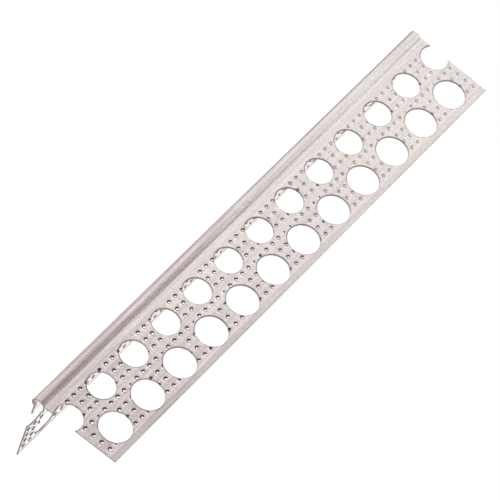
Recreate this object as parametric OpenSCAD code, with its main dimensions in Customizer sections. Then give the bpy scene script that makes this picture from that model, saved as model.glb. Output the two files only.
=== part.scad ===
// Perforated corner bead: one roll-formed strip of thin zinc-coated steel, millimetres.
// It stands like a tent, bead up, on the edges of its two wings. X runs along it, and the
// origin is under its middle, on the floor.

/* [Strip] */
// Length over the longer wing's edge
length = 200.6; // [60:0.1:600]
// Thickness of the sheet
sheet_t = 0.4; // [0.3:0.05:0.8]
// Width of each wing, from its edge to the far side of the bead
wing_w = 31.75; // [29:0.25:45]
// Angle between the two wings
opening = 87; // [80:0.5:100]
// Slant of the hand-cut end, away from square
cut_skew = 3.6; // [0:0.1:6]

/* [Bead] */
// Outer radius of the rounded nose
nose_r = 2.1; // [1.6:0.05:2.6]
// Height of the bead above the face of each wing
bead_rise = 1.05; // [0.6:0.05:1.4]
// Radius of the hollow where the bead meets a wing
foot_r = 0.65; // [0.4:0.05:1.2]

/* [Holes] */
// Spacing of the holes along a row
hole_pitch = 16.15; // [13:0.05:24]
// Diameter of the holes in the outer row
outer_hole_d = 10.9; // [6:0.1:12]
// Diameter of the holes in the inner row
inner_hole_d = 9.5; // [6:0.1:10]
// Distance from a wing's edge to the outer row
edge_to_outer_row = 7.55; // [7:0.05:9]
// Distance between the two rows
row_gap = 12.2; // [11:0.1:14]
// Distance from the square end to the first hole of the outer row
end_to_first_hole = 10.85; // [6:0.05:14]

/* [Hidden] */
// How far cutters reach past what they cut
past = 2;
// Turn between two points of an arc, in degrees
arc_step = 6;

// Angle from the upright middle plane to each wing
half = opening / 2;
// Middle of the nose arc, in a wing's own coordinates: along the wing from the line where
// the two outer faces would meet, and outwards from the wing's outer face
nose_n = bead_rise - nose_r;
nose_s = -nose_n / tan(half);
// Turn of the S-curve between the bead and a wing
s_turn = acos(1 - bead_rise / (nose_r + foot_r));
// Where the bead ends and the flat wing begins
foot_s = nose_s + (nose_r + foot_r) * sin(s_turn);
// The wing's edge, and the height that sets its lower corner on the floor
edge_s = wing_w + nose_s - nose_r;
apex_z = edge_s * cos(half) + sheet_t * sin(half);
// Half of the width over both edges
half_span = edge_s * sin(half);

outer_row_s = edge_s - edge_to_outer_row;
inner_row_s = outer_row_s - row_gap;
first_hole_x = length / 2 - end_to_first_hole;

// Points of an arc, with its ends
function arc(centre, r, from, to) =
    let (steps = ceil(abs(to - from) / arc_step))
    [for (i = [0 : steps]) let (a = from + (to - from) * i / steps) centre + r * [cos(a), sin(a)]];

// One side of the section at a depth below the outer face, from the wing's edge to the top
function side_line(depth) = concat(
    [[edge_s, -depth]],
    arc([foot_s, foot_r], foot_r + depth, -90, -90 - s_turn),
    arc([nose_s, nose_n], nose_r - depth, 90 - s_turn, 180 - half)
);

// Wing coordinates turned into the upright section, on the side given by its sign
function placed(points, side) =
    [for (p = points) [side * (p[0] * sin(half) + p[1] * cos(half)), apex_z - p[0] * cos(half) + p[1] * sin(half)]];

function reversed(points) = [for (i = [len(points) - 1 : -1 : 0]) points[i]];
function without_last(points) = [for (i = [0 : len(points) - 2]) points[i]];

// A line over the whole section, from one wing's edge to the other's
function whole_line(depth) =
    concat(without_last(placed(side_line(depth), 1)), reversed(placed(side_line(depth), -1)));

// Places along X of a row's holes: each one whose middle lies on the strip
function row_places(shift) =
    [for (i = [-1 : ceil(length / hole_pitch)])
        let (x = first_hole_x - (i + shift) * hole_pitch)
        if (abs(x) < length / 2) x];

module strip() {
    rotate([90, 0, 90])
        linear_extrude(height = length, center = true)
            polygon(concat(whole_line(0), reversed(whole_line(sheet_t))));
}

// Moves its children from the floor plane onto a wing: Y becomes the way down the wing
module on_wing(side) {
    mirror([0, side < 0 ? 1 : 0, 0])
        translate([0, 0, apex_z])
            rotate([half - 90, 0, 0])
                children();
}

module row_of_holes(s, d, shift) {
    for (x = row_places(shift))
        translate([x, s, -sheet_t - past])
            cylinder(h = sheet_t + 2 * past, d = d, $fn = 48);
}

// What the slanted cut takes off: it turns about the corner of the longer wing's edge
module slanted_offcut() {
    translate([-length / 2, half_span, 0])
        rotate([0, 0, cut_skew])
            translate([-length, -3 * half_span, -past])
                cube([length, 4 * half_span, apex_z + bead_rise + 2 * past]);
}

module corner_bead() {
    color("gainsboro")
        difference() {
            strip();
            for (side = [-1, 1])
                on_wing(side) {
                    row_of_holes(outer_row_s, outer_hole_d, 0);
                    row_of_holes(inner_row_s, inner_hole_d, 0.5);
                }
            slanted_offcut();
        }
}

corner_bead();
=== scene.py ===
# %% [markdown]
# A perforated corner bead
# This lesson dresses one strip of roll-formed sheet metal: the trim that covers the outside corner of a
# plastered wall. The real strip is a single piece of thin zinc-coated steel. It has two wings full of round
# holes, a hollow rounded bead between them, and small dimples that were rolled into both wings for grip.
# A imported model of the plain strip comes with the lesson. It gives the size and the place of everything, and
# the dimpled skin is worked out here, around it.

# %% The frame and the libraries
import math

import bpy
import numpy as np
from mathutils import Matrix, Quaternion, Vector


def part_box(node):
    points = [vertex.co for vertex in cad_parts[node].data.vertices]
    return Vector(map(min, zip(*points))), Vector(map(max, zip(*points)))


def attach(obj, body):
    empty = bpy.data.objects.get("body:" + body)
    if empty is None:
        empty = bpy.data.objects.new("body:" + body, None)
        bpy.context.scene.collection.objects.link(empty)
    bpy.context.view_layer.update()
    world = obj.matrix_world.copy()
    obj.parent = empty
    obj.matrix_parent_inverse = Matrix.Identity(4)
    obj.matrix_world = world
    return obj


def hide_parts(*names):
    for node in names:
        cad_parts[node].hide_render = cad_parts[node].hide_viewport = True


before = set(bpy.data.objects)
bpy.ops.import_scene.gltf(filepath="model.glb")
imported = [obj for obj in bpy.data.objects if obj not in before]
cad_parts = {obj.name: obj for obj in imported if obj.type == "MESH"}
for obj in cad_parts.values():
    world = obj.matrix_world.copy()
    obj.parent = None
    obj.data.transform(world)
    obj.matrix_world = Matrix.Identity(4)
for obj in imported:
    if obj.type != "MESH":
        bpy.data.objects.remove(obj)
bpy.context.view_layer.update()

MM = 0.001  # metres in a millimetre: sizes below are in millimetres, as in a workshop
low, high = (np.array(corner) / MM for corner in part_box("corner_bead"))
length, width, height = high - low
print(f"plain strip: {length:.1f} x {width:.1f} x {height:.1f} mm")

# %% [markdown]
# The section
# Cut across, the strip looks like a tent with a round ridge. Each wing is straight, and near the ridge it
# turns outwards through a small hollow, the foot, into the round nose. The section could be drawn as a curve
# by hand. It is worked out as a formula here, because the same formula then says which way the surface faces
# at every place, and the dimples and the thickness of the sheet both need that.

# %% The driving sizes of the section
sheet = 0.4          # thickness of the steel
opening = 87.0       # degrees between the two wings
nose_r = 2.1         # outer radius of the nose
bead_rise = 1.05     # height of the nose above the face of a wing
foot_r = 0.65        # radius of the hollow foot

half = math.radians(opening / 2)
edge_s = width / 2 / math.sin(half)  # the wing's edge, measured down the wing from where the faces would meet
apex_z = edge_s * math.cos(half) + sheet * math.sin(half)
nose_n = bead_rise - nose_r
nose_s = -nose_n / math.tan(half)
foot_turn = math.acos(1 - bead_rise / (nose_r + foot_r))
foot_s = nose_s + (nose_r + foot_r) * math.sin(foot_turn)
nose_turn = math.pi / 2 - half + foot_turn
nose_end = nose_r * nose_turn
foot_end = nose_end + foot_r * foot_turn
edge_d = foot_end + edge_s - foot_s
print(f"ridge at {apex_z:.2f} mm, half of the sheet unrolled {edge_d:.2f} mm")


# %% The section as a function
def section(d):
    """Place and outward direction of the outer face, at distance d from the middle of the nose.

    d is measured along the unrolled sheet, and is negative on the -Y wing. The nose is an arc, the foot is
    an arc that bends the other way, and the wing is a straight line. Each is first worked out in the wing's
    own directions, s down the wing and n outwards, and then turned into Y and Z.
    """
    side = np.where(d < 0, -1.0, 1.0)
    run = np.abs(d)
    nose_angle = math.pi - half - run / nose_r
    foot_angle = (run - nose_end) / foot_r - math.pi / 2 - foot_turn
    on_nose = run < nose_end
    on_foot = run < foot_end
    s = np.where(on_nose, nose_s + nose_r * np.cos(nose_angle),
                 np.where(on_foot, foot_s + foot_r * np.cos(foot_angle), foot_s + run - foot_end))
    n = np.where(on_nose, nose_n + nose_r * np.sin(nose_angle),
                 np.where(on_foot, foot_r + foot_r * np.sin(foot_angle), 0.0))
    face_s = np.where(on_nose, np.cos(nose_angle), np.where(on_foot, -np.cos(foot_angle), 0.0))
    face_n = np.where(on_nose, np.sin(nose_angle), np.where(on_foot, -np.sin(foot_angle), 1.0))
    place = np.stack([side * (s * math.sin(half) + n * math.cos(half)),
                      apex_z - s * math.cos(half) + n * math.sin(half)], axis=-1)
    facing = np.stack([side * (face_s * math.sin(half) + face_n * math.cos(half)),
                       -face_s * math.cos(half) + face_n * math.sin(half)], axis=-1)
    return place, facing


def skin(x, d, height):
    """Points at x along the strip and d across it, raised by height along the outward direction."""
    place, facing = section(d)
    return np.column_stack([x, place + facing * np.asarray(height)[:, None]])


check = skin(np.zeros(3), np.array([-edge_d, 0.0, edge_d]), np.zeros(3))
print("edge, ridge, edge (y, z):", np.round(check[:, 1:], 2).tolist())

# %% [markdown]
# The dimples
# On the real strip a patterned roll pressed seven rows of small round dents into the outer face of each wing,
# and the punch for the big holes went through the same field. A bump map could shade such dents, but they
# also notch the rims of the holes and the cut end, so they are real geometry here. One square cell is drawn
# with rings of points around its middle, and array arithmetic lays the same cell in rows over both wings.

# %% The field of dimples
dimple_pitch = 3.176       # along the strip
row_pitch = 3.269          # across it
rows = 7
first_row = 3.92           # from the wing's edge to the outermost row
first_column = 1.94        # from the square end to the first column
dimple_r = 0.8
dimple_depth = 0.5
sectors = 16               # points on each round of the dent
ring_shares = np.array([0.45, 0.7, 0.87, 1.0])

columns = math.ceil((length - first_column) / dimple_pitch + 0.5)
column_x = length / 2 - first_column - np.arange(columns) * dimple_pitch
row_d = edge_d - first_row - np.arange(rows) * row_pitch
field_outer = row_d[0] + row_pitch / 2
field_inner = row_d[-1] - row_pitch / 2
print(f"{columns} columns and {rows} rows of dimples on each wing")

# %% The big holes
hole_pitch = 16.15
outer_hole_r = 5.45
inner_hole_r = 4.75
edge_to_outer_row = 7.55
row_gap = 12.2
end_to_first_hole = 10.85

outer_hole_s = edge_s - edge_to_outer_row
inner_hole_s = outer_hole_s - row_gap
outer_hole_x = length / 2 - end_to_first_hole - np.arange(math.ceil(length / hole_pitch)) * hole_pitch
outer_hole_x = outer_hole_x[np.abs(outer_hole_x) < length / 2]
inner_hole_x = np.append(outer_hole_x[0] + hole_pitch / 2, outer_hole_x - hole_pitch / 2)
inner_hole_x = inner_hole_x[np.abs(inner_hole_x) < length / 2]
hole_counts = [len(outer_hole_x), len(inner_hole_x)]
hole_x = np.concatenate([outer_hole_x, inner_hole_x])
hole_s = np.repeat([outer_hole_s, inner_hole_s], hole_counts)
hole_r = np.repeat([outer_hole_r, inner_hole_r], hole_counts)
cut_slant = math.radians(3.6)  # of the hand-cut end, away from square
print("outer and inner holes on each wing:", hole_counts)


# %% One dimpled cell
def rays(count):
    """Unit points at equal turns round a circle."""
    turn = np.arange(count) * 2 * np.pi / count
    return np.column_stack([np.cos(turn), np.sin(turn)])


def dimple_cell():
    """Points, depths, triangles and quads of one cell around (0, 0).

    Rings of points stand at shares of the dimple's radius. The cell's border has half as many points, pushed
    out along the rays of every second one. The depth is a bowl with a crisp rim: one less the share to the
    power bowl_power, so the floor of the bowl is broad and its wall is steepest at the rim. The rim itself
    lies rim_depth of the way down, because the roll drew the sheet round each dent into a shallow saucer.
    """
    bowl_power, rim_depth = 3.0, 0.08
    wide = rays(sectors // 2)
    border = wide / np.abs(wide).max(axis=1, keepdims=True) * [dimple_pitch / 2, row_pitch / 2]
    rings = rays(sectors)[None] * (dimple_r * ring_shares)[:, None, None]
    points = np.vstack([[[0.0, 0.0]], rings.reshape(-1, 2), border])
    bowl = 1 - (1 - rim_depth) * ring_shares ** bowl_power
    depths = np.concatenate([[1.0], np.repeat(bowl, sectors), np.zeros(sectors // 2)])
    here = np.arange(sectors)
    after = (here + 1) % sectors
    fan = np.column_stack([np.zeros_like(here), 1 + here, 1 + after])
    starts = 1 + np.arange(len(ring_shares) - 1)[:, None] * sectors
    walls = np.stack([starts + here, starts + sectors + here, starts + sectors + after, starts + after],
                     axis=-1)
    rim = 1 + (len(ring_shares) - 1) * sectors
    outer = rim + sectors
    half_here = np.arange(sectors // 2)
    half_after = (half_here + 1) % (sectors // 2)
    even, odd, next_even = rim + 2 * half_here, rim + 2 * half_here + 1, rim + 2 * half_after
    steps = [(even, outer + half_here, odd), (odd, outer + half_here, outer + half_after),
             (odd, outer + half_after, next_even)]
    triangles = np.vstack([fan] + [np.column_stack(step) for step in steps])
    return points, depths, triangles, walls.reshape(-1, 4)


cell_points, cell_depths, cell_triangles, cell_quads = dimple_cell()
print(f"one cell has {len(cell_points)} points")


# %% How much of each dent is left
def eased(gap, near, far):
    """0 up to near, 1 from far on, and an even S-curve between them."""
    share = np.clip((gap - near) / (far - near), 0, 1)
    return share ** 2 * (3 - 2 * share)


def dents_left(middle):
    """How wide each dent is and how deep, as shares of the full dent, from their middles in the plan.

    The punches of the big holes came after the dents. They pressed the dents that they cut through flat
    again: fully on the side of the ridge and the square end, not at all on the side of the ridge and the
    slanted end, and by half below. The punch of the outer row leaned a little towards the slanted end, and so
    it also shrank the dent that it nearly touched there. The snips pressed the dents under the slanted cut
    flat as well. And the roll pressed less towards the square end, so the dents there are both narrower and
    shallower.
    """
    flat_near, flat_far, half_flat = 0.45, 0.7, 0.5   # from the rim of a hole
    shrunk_near, shrunk_far = 0.9, 1.1                # from the rim of the leaning punch
    lean, left_share = 0.9, 0.5                       # its lean, and the share of a dent that it leaves
    snip_near, snip_far = 0.5, 1.1                    # from the slanted cut
    press_slanted, press_square = 1.1, 0.75           # force of the roll at the two ends
    middle_s = np.abs(middle[:, 1]) - foot_end + foot_s
    along, down = middle[:, 0, None] - hole_x, middle_s[:, None] - hole_s
    gap = np.abs(np.hypot(along, down) - hole_r)
    pressed_flat = 1 - eased(gap, flat_near, flat_far)
    left = 1 - (np.where((along > 0) & (down < 0), 1.0, half_flat) * pressed_flat).max(axis=1)
    left = np.where(((along < 0) & (down < 0) & (gap < flat_far)).any(axis=1), 1.0, left)
    leaning = np.abs(np.hypot(along + lean, down) - hole_r)[:, :hole_counts[0]].min(axis=1)
    above = middle_s < outer_hole_s - outer_hole_r
    shrunk = np.where(above, left_share + (1 - left_share) * eased(leaning, shrunk_near, shrunk_far), 1.0)
    middle_y = middle_s * np.sign(middle[:, 1]) * math.sin(half)
    cut_x = (width / 2 - middle_y) * math.tan(cut_slant) - length / 2
    left = left * eased(np.abs(middle[:, 0] - cut_x), snip_near, snip_far)
    pressed = np.interp(middle[:, 0], [-length / 2, length / 2], [press_slanted, press_square])
    return pressed, shrunk, left


# %% The whole field, on both wings
def dimple_field():
    """Every cell of both wings: the one cell shifted to each column and row, with its dent scaled.

    The border of each cell stays where it is, so neighbours share it.
    """
    x, d = np.meshgrid(column_x, np.concatenate([row_d, -row_d]), indexing="ij")
    middle = np.column_stack([x.ravel(), d.ravel()])
    pressed, shrunk, left = dents_left(middle)
    flattened = shrunk * left
    on_dent = np.arange(len(cell_points)) < len(cell_points) - sectors // 2
    reach = np.where(on_dent, (pressed * shrunk)[:, None], 1.0)
    points = (middle[:, None] + cell_points * reach[..., None]).reshape(-1, 2)
    depths = ((flattened * pressed)[:, None] * cell_depths[None]).ravel() * dimple_depth
    shares = (flattened[:, None] * cell_depths[None]).ravel()
    shift = np.arange(len(middle))[:, None, None] * len(cell_points)
    faces = (cell_triangles + shift).reshape(-1, 3), (cell_quads + shift).reshape(-1, 4)
    return points, depths, shares, *faces


field = dimple_field()
print(f"dimpled field: {len(field[0])} points, {len(field[3])} triangles, {len(field[4])} quads")


# %% [markdown]
# The smooth bands
# Along the bead and along each edge the roll left a plain band. A regular grid does for these. Where the fine
# points of the dimpled cells meet the long panels of the bead, a row of triangles joins two steps to one.

# %% Grids and the joining row
corner_x = np.append(column_x + dimple_pitch / 2, column_x[-1] - dimple_pitch / 2)[::-1]


def grid(across):
    """A grid over the whole length, with a line of points at each distance in across."""
    x, d = np.meshgrid(corner_x, across, indexing="ij")
    index = np.arange(x.size).reshape(x.shape)
    quads = np.stack([index[:-1, :-1], index[1:, :-1], index[1:, 1:], index[:-1, 1:]], axis=-1)
    return np.column_stack([x.ravel(), d.ravel()]), quads.reshape(-1, 4)


def joining_row(fine_d, coarse_d):
    """Triangles between the border of the cells at fine_d and single panels at coarse_d."""
    steps = np.array([-1, 0, 1]) * dimple_pitch / 2
    fine_x = (column_x[:, None] + steps).ravel()
    panel_x = (column_x[:, None] + steps[[0, -1]]).ravel()
    points = np.column_stack([np.concatenate([fine_x, panel_x]),
                              np.repeat([fine_d, coarse_d], [fine_x.size, panel_x.size])])
    fine = np.arange(fine_x.size).reshape(columns, 3)
    panel = fine_x.size + np.arange(panel_x.size).reshape(columns, 2)
    fans = [np.column_stack([panel[:, 0], fine[:, k + 1], fine[:, k]]) for k in range(2)]
    fans.append(np.column_stack([panel[:, 0], panel[:, 1], fine[:, 2]]))
    triangles = np.vstack(fans)
    return points, triangles if fine_d > coarse_d else triangles[:, ::-1]


print(f"bands have {len(corner_x)} points along the strip")

# %% [markdown]
# The sheet
# All patches lie in one flat plan, the unrolled sheet, so points that two patches share have the same place
# there and can be merged by it. The plan is then rolled into the section twice, once as the outer face and
# once a sheet's thickness deeper, and the open rims between the two faces are closed. A Solidify modifier
# could give the thickness too, but it moves points along bent normals and would pinch the narrow foot.


# %% Joining the patches in the plan
same_decimals = 4  # points that agree to so many decimals of a millimetre are one
hair = 0.001       # a distance in the plan too small to matter


def merge(patches):
    """One plan from many patches: equal points become one, and the faces follow them."""
    points, depths, shares, triangles, quads = [], [], [], [], []
    total = 0
    for patch_points, patch_depths, patch_shares, patch_triangles, patch_quads in patches:
        points.append(patch_points)
        depths.append(patch_depths)
        shares.append(patch_shares)
        triangles.append(patch_triangles + total)
        quads.append(patch_quads + total)
        total += len(patch_points)
    points = np.vstack(points)
    rounded = np.round(points, same_decimals)
    _, first, same = np.unique(rounded, axis=0, return_index=True, return_inverse=True)
    same = same.ravel()
    kept = points[first], np.concatenate(depths)[first], np.concatenate(shares)[first]
    return *kept, same[np.vstack(triangles)], same[np.vstack(quads)]


def flat_patch(points, triangles=None, quads=None):
    """A patch with no dents, in the form that merge takes."""
    flat = np.zeros(len(points))
    return (points, flat, flat, np.zeros((0, 3), int) if triangles is None else triangles,
            np.zeros((0, 4), int) if quads is None else quads)


arc_step = math.radians(6)
nose_lines = np.linspace(0, nose_end, math.ceil(nose_turn / arc_step) + 1)
foot_lines = np.linspace(nose_end, foot_end, math.ceil(foot_turn / arc_step) + 1)
half_bead = np.concatenate([nose_lines, foot_lines[1:], [(foot_end + field_inner) / 2]])
bead_lines = np.concatenate([-half_bead[:0:-1], half_bead])
edge_lines = np.array([(field_outer + edge_d) / 2, edge_d])

patches = [field]
bead_points, bead_quads = grid(bead_lines)
patches.append(flat_patch(bead_points, quads=bead_quads))
for side in (1, -1):
    lines = np.sort(side * edge_lines)
    edge_points, edge_quads = grid(lines)
    patches.append(flat_patch(edge_points, quads=edge_quads))
    patches.append(flat_patch(*joining_row(side * field_inner, side * half_bead[-1])))
    patches.append(flat_patch(*joining_row(side * field_outer, side * edge_lines[0])))
plan, dents, dent_shares, triangles, quads = merge(patches)
plan[plan[:, 0] > corner_x[-1] - hair, 0] = length / 2  # the last border reaches the square end
print(f"plan: {len(plan)} points, {len(triangles) + len(quads)} faces")


# %% Rolling the plan into a closed sheet
def open_rim(triangles, quads):
    """Edges that only one face uses, in the direction in which that face runs round."""
    edges = np.vstack([np.column_stack([face[:, k], np.roll(face, -1, axis=1)[:, k]])
                       for face in (triangles, quads) for k in range(face.shape[1])])
    _, where, uses = np.unique(np.sort(edges, axis=1), axis=0, return_inverse=True, return_counts=True)
    return edges[uses[where.ravel()] == 1]


outer_face = skin(plan[:, 0], plan[:, 1], -dents)
inner_face = skin(plan[:, 0], plan[:, 1], -dents - sheet)
rim = open_rim(triangles, quads)
shift = len(plan)
walls = np.column_stack([rim[:, 1], rim[:, 0], rim[:, 0] + shift, rim[:, 1] + shift])
sheet_points = np.vstack([outer_face, inner_face]) * MM
sheet_triangles = np.vstack([triangles, triangles[:, ::-1] + shift])
sheet_quads = np.vstack([quads, quads[:, ::-1] + shift, walls])
print(f"closed sheet: {len(sheet_points)} points, {len(rim)} rim edges")


zinc = bpy.data.materials.new("zinc_steel")      # the coated faces
bare_shaded_edge = bpy.data.materials.new("bare_shaded_edge")  # steel bared by a punch or a shear; its dark greys are partly painted shade


def solid(name, points, *face_sets, finish=()):
    """A mesh object from points in metres, arrays of faces, and its finishes."""
    mesh = bpy.data.meshes.new(name)
    faces = [face for face_set in face_sets for face in face_set.tolist()]
    mesh.from_pydata(points.tolist(), [], faces)
    for material in finish:
        mesh.materials.append(material)
    made = bpy.data.objects.new(name, mesh)
    bpy.context.scene.collection.objects.link(made)
    return made


strip = solid("dimpled_strip", sheet_points, sheet_triangles, sheet_quads, finish=[zinc, bare_shaded_edge])
finish_index = np.zeros(len(sheet_triangles) + len(sheet_quads), dtype=int)
finish_index[-len(walls):] = 1
strip.data.polygons.foreach_set("material_index", finish_index)
dent_depth = strip.data.attributes.new("dent", "FLOAT", "POINT")
dent_depth.data.foreach_set("value", np.tile(dent_shares, 2))
inside = strip.data.attributes.new("inside", "FLOAT", "POINT")
inside.data.foreach_set("value", np.repeat([0.0, 1.0], len(plan)))

# %% [markdown]
# The holes and the cut end
# The real holes were punched through the flat sheet, after the dimples. Here one cutter mesh holds a round
# punch for every hole, and a Boolean takes it away. The strip was shortened by hand at one end, a little off
# square, so a second Boolean takes off that end along a slanted plane.


# %% Punches and the slanted cut
def punches():
    """A round prism through the sheet for every hole: a circle in the wing's plane, carried along n."""
    punch_sides, reach = 64, 2.0
    x, s, r = (np.tile(values, 2) for values in (hole_x, hole_s, hole_r))
    side = np.repeat([1.0, -1.0], len(hole_x))
    turn = np.arange(punch_sides) * 2 * np.pi / punch_sides
    ring_x = x[:, None] + side[:, None] * r[:, None] * np.cos(turn)
    ring_s = s[:, None] + r[:, None] * np.sin(turn)
    n = np.array([reach, -reach - sheet])[None, :, None]
    y = side[:, None, None] * (ring_s[:, None] * math.sin(half) + n * math.cos(half))
    z = apex_z - ring_s[:, None] * math.cos(half) + n * math.sin(half)
    points = np.stack([np.broadcast_to(ring_x[:, None], y.shape), y, z], axis=-1).reshape(-1, 3)
    here = np.arange(punch_sides)
    after = (here + 1) % punch_sides
    walls = np.column_stack([here, here + punch_sides, after + punch_sides, after])
    shift = np.arange(len(x))[:, None, None] * 2 * punch_sides
    caps = np.stack([here, here[::-1] + punch_sides])
    return points * MM, (walls + shift).reshape(-1, 4), (caps + shift).reshape(-1, punch_sides)


def slanted_block():
    """A block over the cut-off end, turned by the slant about the lower corner of the +Y edge."""
    reach = 3 * height
    square = np.array([[-reach, -3 * width], [0, -3 * width], [0, width], [-reach, width]])
    turned = square @ np.array([[math.cos(cut_slant), math.sin(cut_slant)],
                                [-math.sin(cut_slant), math.cos(cut_slant)]])
    turned += [-length / 2, width / 2]
    points = np.vstack([np.column_stack([turned, np.full(4, z)]) for z in (-height, 2 * height)])
    faces = np.array([[3, 2, 1, 0], [4, 5, 6, 7], [0, 1, 5, 4], [1, 2, 6, 5], [2, 3, 7, 6], [3, 0, 4, 7]])
    return points * MM, faces


def cut_away(body, cutter):
    """Takes the cutter from the body for good, and deletes the cutter."""
    boolean = body.modifiers.new("cut", "BOOLEAN")
    boolean.operation = "DIFFERENCE"
    boolean.solver = "MANIFOLD"
    boolean.material_mode = "TRANSFER"
    boolean.object = cutter
    cut = bpy.data.meshes.new_from_object(body.evaluated_get(bpy.context.evaluated_depsgraph_get()))
    body.modifiers.remove(boolean)
    body.data = cut
    bpy.data.objects.remove(cutter)


cut_away(strip, solid("punches", *punches(), finish=[bare_shaded_edge]))
cut_away(strip, solid("offcut", *slanted_block(), finish=[bare_shaded_edge]))
strip.data.name = "dimpled_strip"
strip.data.calc_loop_triangles()
print(f"punched strip: {len(strip.data.vertices)} points, {len(strip.data.loop_triangles)} triangles")

# %% [markdown]
# What the shader is told
# Some of the finish follows the sheet and not space: the painted shade on the band at the edge, the crimp
# marks at the foot of the bead, the painted shade and light in the dents. So every corner of the mesh keeps
# its place on the unrolled sheet as a UV map, and every point keeps how deep it lies in a dent and whether it
# is on the inner face.

# %% Shading, the unrolled map and the depth of the dents
strip.data.shade_smooth()
sharp_from = math.radians(30)
strip.data.set_sharp_from_angle(angle=sharp_from)


def wing_directions(points):
    """Distance down the wing and outwards from its face, of points in millimetres."""
    run = np.abs(points[:, 1])
    s = run * math.sin(half) - (points[:, 2] - apex_z) * math.cos(half)
    n = run * math.cos(half) + (points[:, 2] - apex_z) * math.sin(half)
    return s, n


def unrolled(points):
    """The way back from a point of the strip to the plan: x, and the distance across from the ridge."""
    s, n = wing_directions(points)
    around_nose = nose_r * (math.pi - half - np.arctan2(n - nose_n, s - nose_s))
    around_foot = foot_r * np.arctan2(s - foot_s, foot_r - n) + foot_end
    d = np.where(s > foot_s, s - foot_s + foot_end,
                 np.where(around_nose < nose_end, around_nose, around_foot))
    return np.column_stack([points[:, 0], np.where(points[:, 1] < 0, -d, d)])


def write_map(mesh):
    """A UV map that holds the unrolled sheet at its real size in metres."""
    points = np.empty(len(mesh.vertices) * 3)
    mesh.vertices.foreach_get("co", points)
    points = points.reshape(-1, 3) / MM
    corners = np.empty(len(mesh.loops), dtype=int)
    mesh.loops.foreach_get("vertex_index", corners)
    flat = unrolled(points)[corners] * MM
    mesh.uv_layers.new(name="unrolled").data.foreach_set("uv", flat.ravel())
    return flat


flat = write_map(strip.data)
depth_kept = np.empty(len(strip.data.vertices))
strip.data.attributes["dent"].data.foreach_get("value", depth_kept)
print("dent attribute from", round(depth_kept.min(), 2), "to", round(depth_kept.max(), 2))
print("map covers", np.round(flat.min(axis=0) / MM, 2), "to", np.round(flat.max(axis=0) / MM, 2), "mm")

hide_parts("corner_bead")
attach(strip, "root")

# %% [markdown]
# The zinc finish
# Zinc-coated sheet is a pale, satin metal. The rolls drag fine lines along it, and slanted ones over the
# bead. The coating dries in faint clouds of warmer and greener grey. Painted shade darkens the walls of the
# dents, the foot of the bead, the edge and one side round each hole, and painted light brightens the floors
# of the dents, bands along the bead and the whole inner face. A painted image could hold all that, but
# it would have to be drawn for this one length. Here noise makes the lines and clouds, and arithmetic on the
# unrolled map, in millimetres, finds the crimp marks and the places of the painted shade and light. Many
# marks change along the strip, so their strength is given at two places x and runs evenly from one to the
# other.


# %% Helpers for the shader
def add(nodes, kind, **values):
    """A node with its properties set."""
    node = nodes.new(kind)
    for name, value in values.items():
        setattr(node, name, value)
    return node


def calc(tree, operation, *values):
    """A Math node on sockets or plain numbers."""
    node = add(tree.nodes, "ShaderNodeMath", operation=operation)
    for k, value in enumerate(values):
        if isinstance(value, (int, float)):
            node.inputs[k].default_value = value
        else:
            tree.links.new(value, node.inputs[k])
    return node.outputs[0]


def product(tree, first, *others):
    """All values multiplied, in their order."""
    for value in others:
        first = calc(tree, "MULTIPLY", first, value)
    return first


def rest(tree, share):
    """What a share leaves of one."""
    return calc(tree, "SUBTRACT", 1.0, share)


def distance(tree, u, v):
    """The length of the straight way (u, v): the root of the sum of both squares."""
    return calc(tree, "SQRT", calc(tree, "ADD", product(tree, u, u), product(tree, v, v)))


def spread(tree, value, from_low, from_high, to_low=0.0, to_high=1.0, smooth=False):
    """A value stretched from one range to another, and held inside it."""
    ranged = add(tree.nodes, "ShaderNodeMapRange", interpolation_type="SMOOTHSTEP" if smooth else "LINEAR")
    tree.links.new(value, ranged.inputs["Value"])
    limits = {"From Min": from_low, "From Max": from_high, "To Min": to_low, "To Max": to_high}
    for name, number in limits.items():
        ranged.inputs[name].default_value = number
    return ranged.outputs["Result"]


# %% Helpers for coordinates, noise and tints
def scaled(tree, vector, stretch, turn=0.0):
    """Coordinates multiplied by stretch, and turned."""
    mapping = add(tree.nodes, "ShaderNodeMapping", vector_type="POINT")
    mapping.inputs["Scale"].default_value = stretch
    mapping.inputs["Rotation"].default_value = (0, 0, turn)
    tree.links.new(vector, mapping.inputs["Vector"])
    return mapping.outputs["Vector"]


def noise(tree, vector, stretch, detail):
    """Noise on coordinates that are first multiplied by stretch."""
    texture = add(tree.nodes, "ShaderNodeTexNoise")
    texture.inputs["Scale"].default_value = 1.0
    texture.inputs["Detail"].default_value = detail
    tree.links.new(scaled(tree, vector, stretch), texture.inputs["Vector"])
    return texture.outputs["Fac"]


def between(tree, share, first, second):
    """A colour between two: the first at share 0, the second at 1. Sockets 6 and 7 hold the two."""
    mix = add(tree.nodes, "ShaderNodeMix", data_type="RGBA")
    mix.inputs[6].default_value = (*first, 1)
    mix.inputs[7].default_value = (*second, 1)
    tree.links.new(share, mix.inputs["Factor"])
    return mix.outputs[2]


# %% Bands, grids and spots
def band(tree, d, start, end, soft=0.15):
    """1 between two distances from the ridge, with soft borders."""
    return product(tree, spread(tree, d, start - soft, start + soft, smooth=True),
                   spread(tree, d, end - soft, end + soft, 1, 0, smooth=True))


def from_nearest(tree, value, first, pitch):
    """Distance, with its sign, from the nearest one of a row of places that starts at first."""
    first = float(first)
    wrapped = calc(tree, "WRAP", value, first + pitch / 2, first - pitch / 2)
    return calc(tree, "SUBTRACT", wrapped, first)


def spot(tree, u, v, middle_u, middle_v, radius):
    """1 in the middle of a round spot near each dent, and 0 outside its radius."""
    reach = distance(tree, calc(tree, "SUBTRACT", u, middle_u), calc(tree, "SUBTRACT", v, middle_v))
    return spread(tree, reach, 0.2 * radius, radius, 1, 0, smooth=True)


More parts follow.
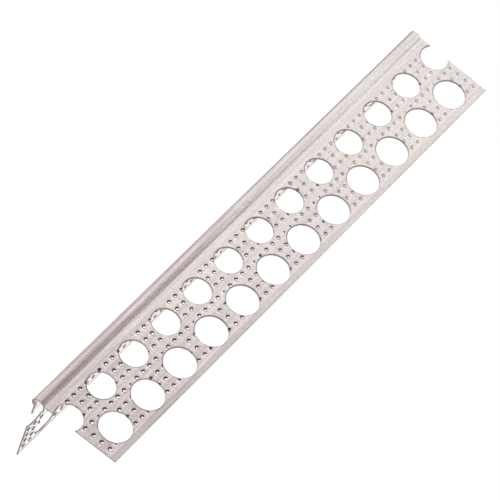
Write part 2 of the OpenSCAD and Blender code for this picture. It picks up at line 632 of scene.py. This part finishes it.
# %% The rims of the holes and the foot of the bead
def rim_painted_shade(tree, x, d, first_x, row_middle, radius):
    """Painted shade round every hole of one row.

    x is wrapped into one hole pitch around a hole of the row, so one circle stands for all of them. The punch
    drew the rim down, so a narrow slope runs round each hole, and the shade on one side of it is painted: on
    the side of the ridge and the square end, and close to the slanted end on the side of that end.
    """
    slope_full, slope_end = 0.2, 0.48     # how far the mark reaches from the rim
    faintest = 0.25                       # on the lit side
    turns_from, turns_to = -80, -35       # where the shaded side changes over
    along = from_nearest(tree, x, first_x, hole_pitch)
    across = calc(tree, "SUBTRACT", d, row_middle)
    off_rim = calc(tree, "ABSOLUTE", calc(tree, "SUBTRACT", distance(tree, along, across), radius))
    ring = spread(tree, off_rim, slope_full, slope_end, 1, 0, smooth=True)
    lean = calc(tree, "SUBTRACT", product(tree, along, spread(tree, x, turns_from, turns_to, -0.6, 0.6)),
                product(tree, across, spread(tree, x, turns_from, turns_to, 0.1, 0.8)))
    return product(tree, ring, spread(tree, lean, -0.4 * radius, 0.6 * radius, faintest, 1))


def crimp_marks(tree, x, d):
    """Slanted ticks that the last roll pressed into the foot: a wave along x that leans with d."""
    spacing, lean = 1.3, 0.6
    phase = product(tree, calc(tree, "ADD", x, product(tree, d, lean)), 2 * math.pi / spacing)
    ticks = spread(tree, calc(tree, "SINE", phase), 0.2, 0.9)
    return product(tree, ticks, band(tree, d, foot_end - 0.6, foot_end + 0.05))


# %% In and round the dents
def painted_light_round_dents(tree, x, d, dent, patchy):
    """Painted shade and painted light in and round the dents, each with its loss of brightness. A negative
    loss brightens.

    u and v run along x and away from the ridge, from the middle of the nearest dent. The walls carry painted
    shade on the side of the ridge and of the slanted end, less at the rim near the square end, and none
    towards the wing's edge. Each floor gets a painted highlight. The sheet just before a dent gets painted
    light, and just behind it and under it painted shade. Here and there, where patchy allows it, there is a
    faint dark dash between the rows next to the ridge.
    """
    u = from_nearest(tree, x, column_x[0], dimple_pitch)
    v = from_nearest(tree, d, row_d[0], row_pitch)
    in_dent = spread(tree, dent, 0.08, 0.3, smooth=True)
    in_field = band(tree, d, field_inner, field_outer)

    # painted shade on the walls of the dents, strongest on the side of the ridge and of the slanted end
    wall = product(tree, in_dent, spread(tree, dent, 0.75, 0.95, 1, 0, smooth=True))
    slanted_side = spread(tree, u, -0.35, 0.35, 1, 0)
    square_side = product(tree, rest(tree, slanted_side), spread(tree, x, 0, 48, 0.9, 0.2))
    wall_loss = calc(tree, "ADD", product(tree, slanted_side, 0.88), square_side)
    unshaded_top = product(tree, spread(tree, v, -0.75, -0.3, 1, 0), spread(tree, x, -36, 24, 0, 0.7))
    unshaded_foot = product(tree, spread(tree, v, 0.1, 0.45), spread(tree, x, -24, 24, 0.95, 0.5))
    wall = product(tree, wall, rest(tree, unshaded_top), rest(tree, unshaded_foot))

    # painted shade on one side inside each dent, and a painted highlight on its floor
    shaded_side = spot(tree, u, v, spread(tree, x, -60, 60, -0.6, -0.3), 0.12, 0.6)
    bright_floor = spot(tree, u, v, 0.12, 0.38, 0.5)
    half_row = row_pitch / 2
    dash = product(tree, spread(tree, calc(tree, "ABSOLUTE", v), half_row - 0.25, half_row - 0.1),
                   spread(tree, calc(tree, "ABSOLUTE", u), 0.4, 0.65, 1, 0),
                   band(tree, d, field_inner + 0.4, row_d[-3]))
    # painted light just before each dent, and painted shade just behind it and under it
    before, behind, under = (spot(tree, u, v, *place) for place in ((-1.15, 0.1, 0.6), (1.1, -0.4, 0.6),
                                                                    (-0.1, 1.15, 0.5)))
    return ((wall, wall_loss),
            (product(tree, shaded_side, in_dent), spread(tree, x, -60, 0, 0.7, 0.88)),
            (product(tree, bright_floor, in_dent), spread(tree, x, -60, 60, -0.25, -0.05)),
            (product(tree, dash, patchy), spread(tree, x, -60, 0, 0.15, 0.45)),
            (product(tree, before, in_field), spread(tree, x, -60, 60, -0.25, -0.1)),
            (product(tree, behind, in_field), spread(tree, x, -60, 0, 0.15, 0)),
            (product(tree, under, in_field), spread(tree, x, -24, 60, 0.15, 0)))


# %% Bands of painted shade and light along the strip
# Each row: where the band starts and ends in millimetres from the ridge and how soft its borders are, then
# the two places x between which it changes, and its loss of brightness at each of them. A positive loss is
# painted shade, a negative one painted light.
past_edge = 100
painted_bands = (
    (-1, 0.4, 0.15, -60, 60, 0.3, 0.3),                            # painted shade: a dark line on top of the nose
    (0.5, 1.1, 0.15, -20, 40, 0.04, -0.2),                         # beside it, painted light towards the square end
    (1.1, 2.1, 0.15, -80, -40, -0.06, -0.15),                      # the side of the nose, painted light
    (2.35, 3.55, 0.3, -60, -6, 0.17, -0.22),                       # under it, painted shade at the slanted end and painted light from the middle on
    (3.95, foot_end + 0.05, 0.1, -60, 60, 0.08, 0.08),             # painted shade in the bottom of the foot
    (foot_end + 0.1, 5.2, 0.15, -60, 60, -0.06, -0.06),            # painted light where the wing starts
    (edge_d - 3.6, edge_d - 2.3, 0.3, -60, 60, -0.09, 0),          # painted light before the edge, towards the slanted end
    (edge_d - 2.1, past_edge, 0.3, -60, 0, 0.13, 0.07),            # painted shade on the plain band at the edge
    (edge_d - 0.5, past_edge, 0.1, -60, 60, 0.1, 0.1))             # painted shade on the edge itself
print(f"{len(painted_bands)} bands run along the strip")


def painted_light_and_marks(tree, x, d, past_ridge, dent, bottom, patchy):
    """What is left of the zinc's brightness under painted shade, painted light and the crimp marks: a product
    of shares near one.
    """
    to_d = foot_end - foot_s
    # painted shade on one side round every hole of both rows
    rims = calc(tree, "ADD",
                rim_painted_shade(tree, x, d, outer_hole_x[0], outer_hole_s + to_d, outer_hole_r),
                rim_painted_shade(tree, x, d, inner_hole_x[0], inner_hole_s + to_d, inner_hole_r))
    # painted light on the nose just past the ridge
    far_of_ridge = band(tree, past_ridge, 0.4, 2.2, 0.2)
    marks = [*painted_light_round_dents(tree, x, d, dent, patchy),
             # a painted highlight on the floors of the dents and painted shade round the holes; the crimp
             # marks are the sheet's own
             (bottom, spread(tree, x, -60, 60, -0.3, -0.15)),
             (rims, 0.68),
             (far_of_ridge, -0.18),
             (crimp_marks(tree, x, d), spread(tree, x, 0, 60, 0.28, 0.08))]
    # the painted bands of shade and light
    for start, end, soft, from_x, to_x, from_loss, to_loss in painted_bands:
        marks.append((band(tree, d, start, end, soft), spread(tree, x, from_x, to_x, from_loss, to_loss)))
    return product(tree, *(rest(tree, product(tree, place, loss)) for place, loss in marks))


# %% The patterns and the tint of the zinc
def zinc_patterns(tree, place):
    """Noise on the unrolled sheet in millimetres, stretched along x for all that the rolls drew."""
    hatch_turn = 0.7
    return {"fine lines": noise(tree, place, (0.05, 1.8, 1), 3),
            "streaks": noise(tree, place, (0.02, 0.6, 1), 2),
            "grain": noise(tree, place, (1.1, 1.1, 1), 2),
            "hatch": noise(tree, scaled(tree, place, (1, 1, 1), hatch_turn), (0.35, 2.4, 1), 2),
            "clouds": noise(tree, place, (0.2, 0.35, 1), 3),
            "patches": noise(tree, place, (0.3, 0.3, 1), 1)}


def zinc_tint(tree, x, d, clouds):
    """Clouds of a warm and a cool grey: more of the warm one on the bead and towards the slanted end."""
    warm, cool = (0.725, 0.636, 0.626), (0.703, 0.660, 0.640)
    cooler = calc(tree, "ADD", spread(tree, clouds, 0.38, 0.62), spread(tree, x, -80, 80, -0.35, 0.25))
    on_bead = product(tree, band(tree, d, 0.6, foot_end, 0.3), spread(tree, x, -20, 70, 0.9, 0.1))
    share = product(tree, cooler, rest(tree, on_bead))
    return between(tree, spread(tree, share, 0, 1), warm, cool)


# %% The shade of the zinc
def zinc_shade(tree, x, d, inside, paint_and_marks, patterns):
    """How bright the coating is: the painted shade and light and the crimp marks, times the lines and the
    grain.

    On the inner face the painted marks are fainter, painted light makes the zinc brighter, and painted shade
    makes a dark line along its edge.
    """
    # on the inner face, painted light brightens the zinc and the other painted marks fade
    inner_power, inner_gain, line_left = 0.75, 1.36, 0.3
    line_depth, streak_depth, grain_depth, hatch_depth = 0.09, 0.03, 0.09, 0.7
    paint_and_marks = calc(tree, "POWER", paint_and_marks, spread(tree, inside, 0, 1, 1, inner_power))
    # painted shade: a dark line along the edge of the inner face, a little further in at the square end
    to_line = calc(tree, "ADD", d, spread(tree, x, -60, 60, -0.1, 1.0))
    inner_line = product(tree, inside, band(tree, to_line, edge_d - 1.2, edge_d - 0.7, 0.12))
    shade = product(tree, paint_and_marks, spread(tree, inside, 0, 1, 1, inner_gain),
                    spread(tree, inner_line, 0, 1, 1, line_left))

    drawn = calc(tree, "SUBTRACT", calc(tree, "ADD", patterns["fine lines"], patterns["streaks"]), 1.0)
    drawn = product(tree, drawn, spread(tree, x, -60, 60, 0.45, 0.1))
    hatched = product(tree, calc(tree, "SUBTRACT", patterns["hatch"], 0.5), band(tree, d, 2.1, foot_end, 0.2),
                      spread(tree, x, 0, 60, 1, 0.35), hatch_depth)
    shade = product(tree, shade, calc(tree, "ADD", calc(tree, "ADD", drawn, hatched), 1.0))
    for name, depth in (("fine lines", line_depth), ("streaks", streak_depth), ("grain", grain_depth)):
        shade = product(tree, shade, spread(tree, patterns[name], 0.3, 0.7, 1 - depth, 1 + depth))
    return shade


# %% The zinc
def zinc_finish(material):
    """Satin zinc: clouds of two greys, darkened by lines and crimp marks, with painted shade and painted
    light.

    The darker the shade, the warmer it is, so green and blue fall a little faster than red.
    """
    warming = (1.0, 1.12, 1.14)
    plain_metallic, bottom_metallic = 0.35, 0.8
    smoothest, roughest, nose_dulled, bottom_polished = 0.36, 0.48, 0.18, 0.22
    material.use_nodes = True
    tree = material.node_tree
    shader = tree.nodes["Principled BSDF"]
    in_metres = add(tree.nodes, "ShaderNodeUVMap", uv_map="unrolled").outputs["UV"]
    place = scaled(tree, in_metres, (1 / MM, 1 / MM, 1))
    parts = add(tree.nodes, "ShaderNodeSeparateXYZ")
    tree.links.new(place, parts.inputs[0])
    x, past_ridge = parts.outputs["X"], parts.outputs["Y"]
    d = calc(tree, "ABSOLUTE", past_ridge)
    dent, inner = (add(tree.nodes, "ShaderNodeAttribute", attribute_name=name).outputs["Fac"]
                   for name in ("dent", "inside"))
    inside = spread(tree, inner, 0.4, 0.6)
    # the floors of the dents: more metallic and smoother, and given a painted highlight
    bottom = spread(tree, dent, 0.88, 1.0, smooth=True)
    patterns = zinc_patterns(tree, place)
    patchy = spread(tree, patterns["patches"], 0.5, 0.56)
    paint_and_marks = painted_light_and_marks(tree, x, d, past_ridge, dent, bottom, patchy)
    shade = zinc_shade(tree, x, d, inside, paint_and_marks, patterns)

    warmer = add(tree.nodes, "ShaderNodeCombineXYZ")
    for socket, power in zip(warmer.inputs, warming):
        tree.links.new(calc(tree, "POWER", shade, power), socket)
    colour = add(tree.nodes, "ShaderNodeVectorMath", operation="MULTIPLY")
    tree.links.new(zinc_tint(tree, x, d, patterns["clouds"]), colour.inputs[0])
    tree.links.new(warmer.outputs[0], colour.inputs[1])
    tree.links.new(colour.outputs[0], shader.inputs["Base Color"])

    bright = calc(tree, "MAXIMUM", inside, product(tree, bottom, bottom_metallic))
    tree.links.new(spread(tree, bright, 0, 1, plain_metallic, 1.0), shader.inputs["Metallic"])
    rough = calc(tree, "ADD", spread(tree, patterns["fine lines"], 0.3, 0.7, smoothest, roughest),
                 product(tree, band(tree, d, -1, 3.5, 0.3), nose_dulled))
    rough = calc(tree, "SUBTRACT", rough, product(tree, bottom, bottom_polished))
    tree.links.new(rough, shader.inputs["Roughness"])
    bump = add(tree.nodes, "ShaderNodeBump")
    bump.inputs["Strength"].default_value = 0.3
    bump.inputs["Distance"].default_value = 0.02 * MM
    tree.links.new(patterns["fine lines"], bump.inputs["Height"])
    tree.links.new(bump.outputs["Normal"], shader.inputs["Normal"])


zinc_finish(zinc)
print(f"the zinc has {len(zinc.node_tree.nodes)} nodes")


# %% The bare steel at the holes and ends, darkened as painted shade
def bare_shaded_finish(material):
    """Bare steel in two dark greys, mottled as small burrs are. The greys are darker than the steel alone, as
    painted shade on the punched walls.
    """
    dark, pale = (0.20, 0.175, 0.17), (0.36, 0.325, 0.315)
    burrs_per_metre = 900
    material.use_nodes = True
    tree = material.node_tree
    shader = tree.nodes["Principled BSDF"]
    shader.inputs["Metallic"].default_value = 0.4
    shader.inputs["Roughness"].default_value = 0.55
    place = add(tree.nodes, "ShaderNodeTexCoord").outputs["Object"]
    burrs = noise(tree, place, (burrs_per_metre,) * 3, 2)
    tree.links.new(between(tree, spread(tree, burrs, 0.35, 0.65), dark, pale), shader.inputs["Base Color"])


bare_shaded_finish(bare_shaded_edge)
print("finishes:", [material.name for material in strip.data.materials])

# %% [markdown]
# Floor, light and camera
# The strip stands on white paper. A soft lamp behind its slanted end and a weaker one past its square end
# light the wing from above, so each dent has a dark upper side, which painted shade on the dent walls
# deepens. Two small weak lamps close to the strip make the wing brighter towards the square end. The paper
# and the sky look white to the camera, but light the strip as plain pale ones would, so the white
# surroundings don't wash its colours out.

# %% The floor
floor_half = 4.0
floor_down = 0.02 * MM
corners = np.array([[-1, -1], [1, -1], [1, 1], [-1, 1]]) * floor_half
floor = solid("floor", np.column_stack([corners, np.full(4, -floor_down)]), np.array([[0, 1, 2, 3]]))
print(f"floor: {2 * floor_half:.0f} m wide, {floor_down / MM:.2f} mm under the strip")


def seen_rays(tree):
    """1 for camera, mirror and glass rays, 0 for those that light other things."""
    path = add(tree.nodes, "ShaderNodeLightPath").outputs
    mirrored = calc(tree, "MAXIMUM", path["Is Glossy Ray"], path["Is Transmission Ray"])
    return calc(tree, "MAXIMUM", path["Is Camera Ray"], mirrored)


def white_where_seen(material, strength, share):
    """Lets camera, mirror and glass rays see a white glow over a part of the surface's own shade."""
    tree = material.node_tree
    output = next(node for node in tree.nodes if node.type == "OUTPUT_MATERIAL")
    own = output.inputs["Surface"].links[0].from_socket
    amount = calc(tree, "MULTIPLY", seen_rays(tree), share)
    glow = add(tree.nodes, "ShaderNodeEmission")
    glow.inputs["Strength"].default_value = strength
    mixed = add(tree.nodes, "ShaderNodeMixShader")
    tree.links.new(amount, mixed.inputs[0])
    tree.links.new(own, mixed.inputs[1])
    tree.links.new(glow.outputs[0], mixed.inputs[2])
    tree.links.new(mixed.outputs[0], output.inputs["Surface"])


paper = bpy.data.materials.new("white_paper")
paper.use_nodes = True
paper_shader = paper.node_tree.nodes["Principled BSDF"]
paper_shader.inputs["Base Color"].default_value = (0.8, 0.8, 0.8, 1)
paper_shader.inputs["Roughness"].default_value = 0.9
white_where_seen(paper, strength=1.04, share=0.94)
floor.data.materials.append(paper)

# %% The world
world = bpy.data.worlds.new("studio")
world.use_nodes = True
bpy.context.scene.world = world
world_nodes = world.node_tree.nodes
sky = world_nodes["Background"]
sky.inputs["Color"].default_value = (1, 1, 1, 1)
sky.inputs["Strength"].default_value = 0.15
seen_sky = add(world_nodes, "ShaderNodeBackground")
seen_sky.inputs["Color"].default_value = (1, 1, 1, 1)
seen_sky.inputs["Strength"].default_value = 1.0
sky_mix = add(world_nodes, "ShaderNodeMixShader")
world.node_tree.links.new(seen_rays(world.node_tree), sky_mix.inputs[0])
world.node_tree.links.new(sky.outputs[0], sky_mix.inputs[1])
world.node_tree.links.new(seen_sky.outputs[0], sky_mix.inputs[2])
world.node_tree.links.new(sky_mix.outputs[0], world_nodes["World Output"].inputs["Surface"])
print("sky strength:", round(sky.inputs["Strength"].default_value, 2))


# %% The lamps
def soft_lamp(name, place, aim, size, watts):
    """A square area lamp at place, turned towards aim. Places are in metres."""
    data = bpy.data.lights.new(name, "AREA")
    data.shape = "SQUARE"
    data.size = size
    data.energy = watts
    lamp = bpy.data.objects.new(name, data)
    lamp.location = place
    lamp.rotation_euler = (Vector(aim) - Vector(place)).to_track_quat("-Z", "Y").to_euler()
    bpy.context.scene.collection.objects.link(lamp)
    print(f"{name}: {size} m wide, {watts} W")


soft_lamp("near_high", (-0.2, 0.1, 0.4), (0, 0, 0), 0.2, 1.0)
soft_lamp("key", (0.3, -0.18, 0.37), (0, 0, 0), 0.15, 0.27)
soft_lamp("close", (0.03, -0.055, 0.128), (0.03, 0, 0), 0.05, 0.01)
soft_lamp("low_front", (0.12, -0.1, 0.03), (0.06, 0, 0.01), 0.04, 0.027)

# %% The camera
aim = np.array([0.31, 0.647, 6.528])
camera_azimuth, camera_elevation, camera_roll = -37.894, 26.686, -25.335  # degrees
camera_distance = 1285.2
a, e = math.radians(camera_azimuth), math.radians(camera_elevation)
back = np.array([math.sin(a) * math.cos(e), -math.cos(a) * math.cos(e), math.sin(e)])
camera = bpy.data.objects.new("camera", bpy.data.cameras.new("camera"))
camera.data.lens = 291.5
camera.location = (aim + back * camera_distance) * MM
level = Vector(-back).to_track_quat("-Z", "Y")
camera.rotation_euler = (level @ Quaternion((0, 0, 1), math.radians(camera_roll))).to_euler()
bpy.context.scene.collection.objects.link(camera)
bpy.context.scene.camera = camera
bpy.context.scene.view_settings.view_transform = "Standard"
print("camera at", np.round(camera.location, 3).tolist(), "m, lens", camera.data.lens, "mm")
